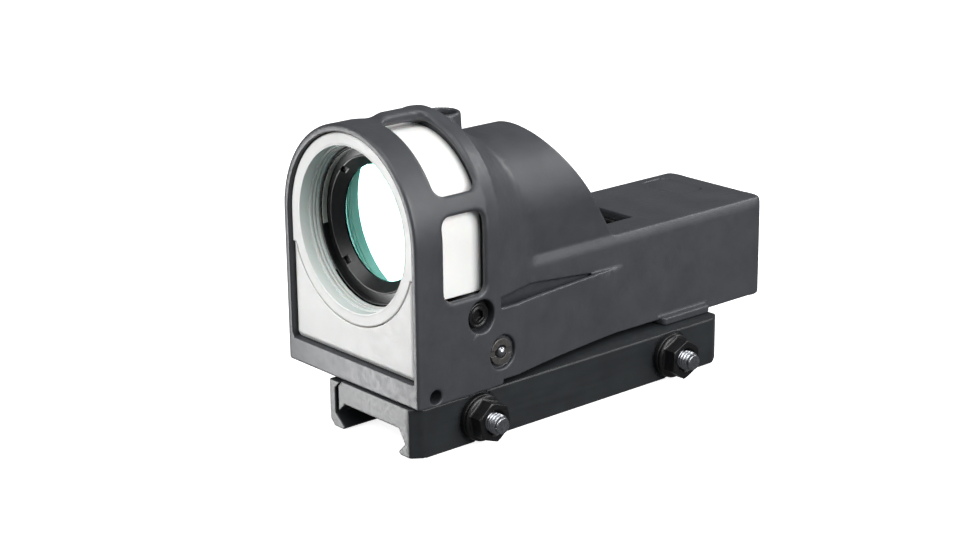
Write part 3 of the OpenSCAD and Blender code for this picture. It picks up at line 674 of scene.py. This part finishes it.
def add(field, name, slot, body, node, step, flat=0.0, grow=0.2, copies=((0, 0, 0),)):
    """Carves a field inside its node's box and lets it stand for that node."""
    corner_a, corner_b = ((np.array(c) - ORIGIN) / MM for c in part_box(node))
    if len(copies) > 1:
        corner_b = corner_b - np.array(copies[-1])
    piece = carve(name, field, corner_a - grow, corner_b + grow, step, flat, copies)
    return dress(piece, slot, body, node)


# ---------------------------------------------------------------- pieces

QUICK = 1.0
BOLT_COPIES = ((0, 0, 0), (0, BOLT_Y[1] - BOLT_Y[0], 0))

add(housing, "cast_housing", "cast_finish", "root", "housing", 0.32 * QUICK, flat=0.01)
add(rail_base, "milled_rail_base", "machined_black", "root", "rail_base", 0.25 * QUICK, flat=0.01)
add(clamp_jaw, "milled_clamp_jaw", "machined_black", "jaw", "clamp_jaw", 0.2 * QUICK, flat=0.01)
add(cross_bolt, "threaded_cross_bolts", "steel", "jaw", "cross_bolts", 0.1 * QUICK,
    copies=BOLT_COPIES)
add(clamp_washer, "thick_washers", "black_steel", "root", "washers", 0.1 * QUICK,
    copies=BOLT_COPIES)
add(clamp_nut, "flanged_front_nut", "black_steel", "front_nut", "front_nut", 0.08 * QUICK)


def rear_clamp_nut(x, y, z):
    return clamp_nut(x, y - BOLT_COPIES[1][1], z, turn=-0.6)


add(rear_clamp_nut, "flanged_rear_nut", "black_steel", "rear_nut", "rear_nut", 0.08 * QUICK)
add(windage_screw, "socket_windage_screw", "black_steel", "windage_screw", "windage_screw", 0.08)
add(elevation_screw, "slotted_elevation_screw", "black_steel", "elevation_screw",
    "elevation_screw", 0.08)
add(purge_valve, "slotted_purge_valve", "valve_metal", "root", "purge_valve", 0.07)
add(valve_pin, "domed_valve_pin", "steel", "root", "valve_pin", 0.07)
add(front_plate, "bevelled_front_plate", "white_diffuser", "root", "front_plate", 0.15 * QUICK)
add(collector_body, "collector_shell", "white_diffuser", "root", "collector_body", 0.25 * QUICK)
add(ring_front, "collector_ring_face", "white_diffuser", "root", "collector_ring", 0.15 * QUICK)

funnel = [(15.95, 0.76), (15.87, 0.8), (15.85, 0.88), (15.85, 2.6), (16.15, 2.65), (16.15, 3.05),
          (15.62, 3.1), (15.6, 3.16), (15.6, 3.45), (16.1, 3.5), (16.1, 3.78), (15.45, 3.82),
          (15.42, 3.88), (15.42, 4.1), (16.05, 4.15), (16.05, 4.42), (15.32, 4.46), (15.3, 4.52),
          (15.3, 4.92), (15.36, 5)]
dress(turned("collector_funnel", funnel + [(16.3, 5), (16.3, 0.76)]), "white_diffuser", "root",
      "collector_ring")
split = [(14.58, 5.3), (14.72, 5.3), (14.75, 5.34), (14.75, 6.35), (14.58, 6.35), (14.55, 6.3),
         (14.55, 5.34)]
# The split ring's grey finish is painted shade on a white ring's inner wall.
dress(turned("split_ring_band", split, a0=-10, sweep=200), "grey_ring", "lens_cell", "split_ring")

cell = [(13.25, 6.4), (14.8, 6.4), (14.8, 5.2), (14.85, 5.15), (15.05, 5.15), (15.1, 5.2),
        (15.1, 7.35), (15.05, 7.4), (13.9, 7.4), (13.9, 15.8), (13.7, 16), (12.2, 16), (12.2, 24.9),
        (12.1, 25), (11.7, 25), (11.6, 24.9), (11.6, 13.4), (12.8, 13.4), (12.8, 8), (13.2, 8),
        (13.2, 6.45)]
dress(turned("turned_lens_cell", cell), "cell_black", "lens_cell", "lens_cell")


def retainer(x, y, z):
    """The black ring in front of the lens, with four notches."""
    away = np.hypot(x, z - AXIS_Z)
    mouth = 12.95
    cone = mouth - (y - RETAINER_Y[0])
    body = soft_max(between(y, *RETAINER_Y), away - RETAINER_R, 0.1)
    body = soft_max(body, np.minimum(cone, mouth) - away, 0.12)
    body = np.maximum(body, 11 - away)
    u, v = (x + z - AXIS_Z) * math.sqrt(0.5), (x - z + AXIS_Z) * math.sqrt(0.5)
    notch = np.minimum(np.maximum(np.abs(u) - 0.75, 12.1 - np.abs(v)),
                       np.maximum(np.abs(v) - 0.75, 12.1 - np.abs(u)))
    return soft_max(body, -np.maximum(notch, y - 6.9), 0.1)


add(retainer, "notched_retainer", "cell_black", "lens_cell", "retainer_ring", 0.12 * QUICK)


def lens_profile(y0, y1, sag0, sag1):
    """Outline of a lens between two shallow faces, sags positive where a face is hollow."""
    r, steps = LENS_R, LENS_STEPS
    front = [(r * i / steps, y0 + sag0 * (1 - (i / steps) ** 2)) for i in range(steps)]
    back = [(r * i / steps, y1 + sag1 * (1 - (i / steps) ** 2)) for i in range(steps - 1, -1, -1)]
    rim = [(r - 0.12, y0), (r, y0 + 0.12), (r, y1 - 0.12), (r - 0.12, y1)]
    return front + rim + back


def lens(name, profile):
    return turned(name, [(max(r, 1e-4), y) for r, y in profile], segments=192)


dress(lens("coated_front_lens", lens_profile(8, 10.4, 0.3, 0.5)), "coated_lens", "lens_cell",
      "lens_front")
dress(lens("rear_lens", lens_profile(10.42, 12.98, 0.5, 0.3)), "clear_glass", "lens_cell",
      "lens_rear")

springs = [spring_path((0, TURRET_Y, 10.6), 2, 6.8, 1.1, 9),
           spring_path((-16.1, *WINDAGE), 0, 13.2, 0.62, 20)]
dress(tube("coiled_return_springs", springs, 0.17), "steel", "root", "return_springs")
jaw_coils = [spring_path((-4.35, at, JAW_SPRING_Z), 0, 5.85, 0.82, 8) for at in JAW_SPRING_Y]
dress(tube("coiled_jaw_springs", jaw_coils, 0.16), "steel", "jaw", "jaw_springs")

# CAD parts whose shape is right keep it and take their finish.
for node in frame["nodes"].values():
    if not node.hide_render:
        slot = next(s["material_slot"] for s in frame["record"]["subparts"]
                    if s["node"] == node.name)
        node.data.materials.clear()
        node.data.materials.append(finishes[slot].material)

# ---------------------------------------------------------------- floor, light and camera

target = Vector(place((0, 30, 20)))


def add_floor():
    half = 1.6
    level = cad_bounds[0][2] - 0.0002
    corners = [(x, y, level) for y in (-half, half) for x in (-half, half)]
    mesh = bpy.data.meshes.new("pale_floor")
    mesh.from_pydata(corners, [], [[0, 1, 3, 2]])
    floor = bpy.data.objects.new("pale_floor", mesh)
    bpy.context.scene.collection.objects.link(floor)
    f = Finish("floor_paper", Roughness=0.9, Specular_IOR_Level=0.1,
               Emission_Color=(1, 1, 1, 1), Emission_Strength=0.85)
    f.tint(f.noise(40, 2), (0.80, 0.80, 0.80), (0.82, 0.82, 0.82))
    floor.data.materials.append(f.material)
    # the floor is seen and takes shadows, but throws no light on the sight
    floor.visible_diffuse = False
    floor.visible_glossy = False


def softbox(name, azimuth, elevation, distance, width, height, radiance, at=target):
    """An area light that faces a point; azimuth 0 stands in front of the lens, 90 at +X."""
    a, e = math.radians(azimuth), math.radians(elevation)
    away = Vector((math.sin(a) * math.cos(e), -math.cos(a) * math.cos(e), math.sin(e)))
    light = bpy.data.lights.new(name, "AREA")
    light.shape = "RECTANGLE"
    light.size, light.size_y = width, height
    light.energy = radiance * math.pi * width * height
    lamp = bpy.data.objects.new(name, light)
    lamp.location = at + away * distance
    lamp.rotation_euler = away.to_track_quat("Z", "Y").to_euler()
    lamp.visible_camera = False
    bpy.context.scene.collection.objects.link(lamp)
    return lamp


def add_world():
    world = bpy.data.worlds.new("studio")
    world.use_nodes = True
    nodes, links = world.node_tree.nodes, world.node_tree.links
    nodes.clear()
    out = nodes.new("ShaderNodeOutputWorld")
    seen = nodes.new("ShaderNodeBackground")
    seen.inputs["Color"].default_value = (1, 1, 1, 1)
    seen.inputs["Strength"].default_value = 1.02
    ambient = nodes.new("ShaderNodeBackground")
    ambient.inputs["Color"].default_value = (0.95, 0.97, 1, 1)
    ambient.inputs["Strength"].default_value = 0.16
    path = nodes.new("ShaderNodeLightPath")
    mix = nodes.new("ShaderNodeMixShader")
    links.new(path.outputs["Is Camera Ray"], mix.inputs[0])
    links.new(ambient.outputs[0], mix.inputs[1])
    links.new(seen.outputs[0], mix.inputs[2])
    links.new(mix.outputs[0], out.inputs["Surface"])
    bpy.context.scene.world = world


def add_camera():
    azimuth, elevation, roll = (math.radians(v) for v in (49.17, 17.545, -0.614))
    back = Vector((math.sin(azimuth) * math.cos(elevation),
                   -math.cos(azimuth) * math.cos(elevation), math.sin(elevation)))
    right = Vector((math.cos(azimuth), math.sin(azimuth), 0))
    up = back.cross(right)
    tilted_right = right * math.cos(roll) + up * math.sin(roll)
    tilted_up = up * math.cos(roll) - right * math.sin(roll)
    place_at = target + (back * 415.54 + tilted_right * 3.361 - tilted_up * 4.678) * MM
    data = bpy.data.cameras.new("camera")
    data.lens, data.sensor_width = 78.85, 36
    data.clip_start, data.clip_end = 0.01, 20
    camera = bpy.data.objects.new("camera", data)
    columns = Matrix((tilted_right, tilted_up, back)).transposed()
    camera.matrix_world = Matrix.Translation(place_at) @ columns.to_4x4()
    bpy.context.scene.collection.objects.link(camera)
    bpy.context.scene.camera = camera


bpy.context.scene.view_settings.view_transform = "Standard"
add_floor()
add_world()
add_camera()
softbox("key_right", 100, 25, 0.55, 0.45, 0.30, 8.0)
softbox("front_left", -8, 35, 0.45, 0.30, 0.30, 3.8)
softbox("top_fill", 60, 72, 0.6, 0.4, 0.4, 3.6)
softbox("rear_rim", 165, 32, 0.6, 0.35, 0.15, 7.0)
lens_at = Vector(place((0, 8, AXIS_Z)))
card = softbox("lens_card", -49.2, -17.5, 0.095, 0.042, 0.11, 9.0,
               at=lens_at + Vector((0.0195, 0, 0)))
card.data.shape = "ELLIPSE"
card.visible_diffuse = False
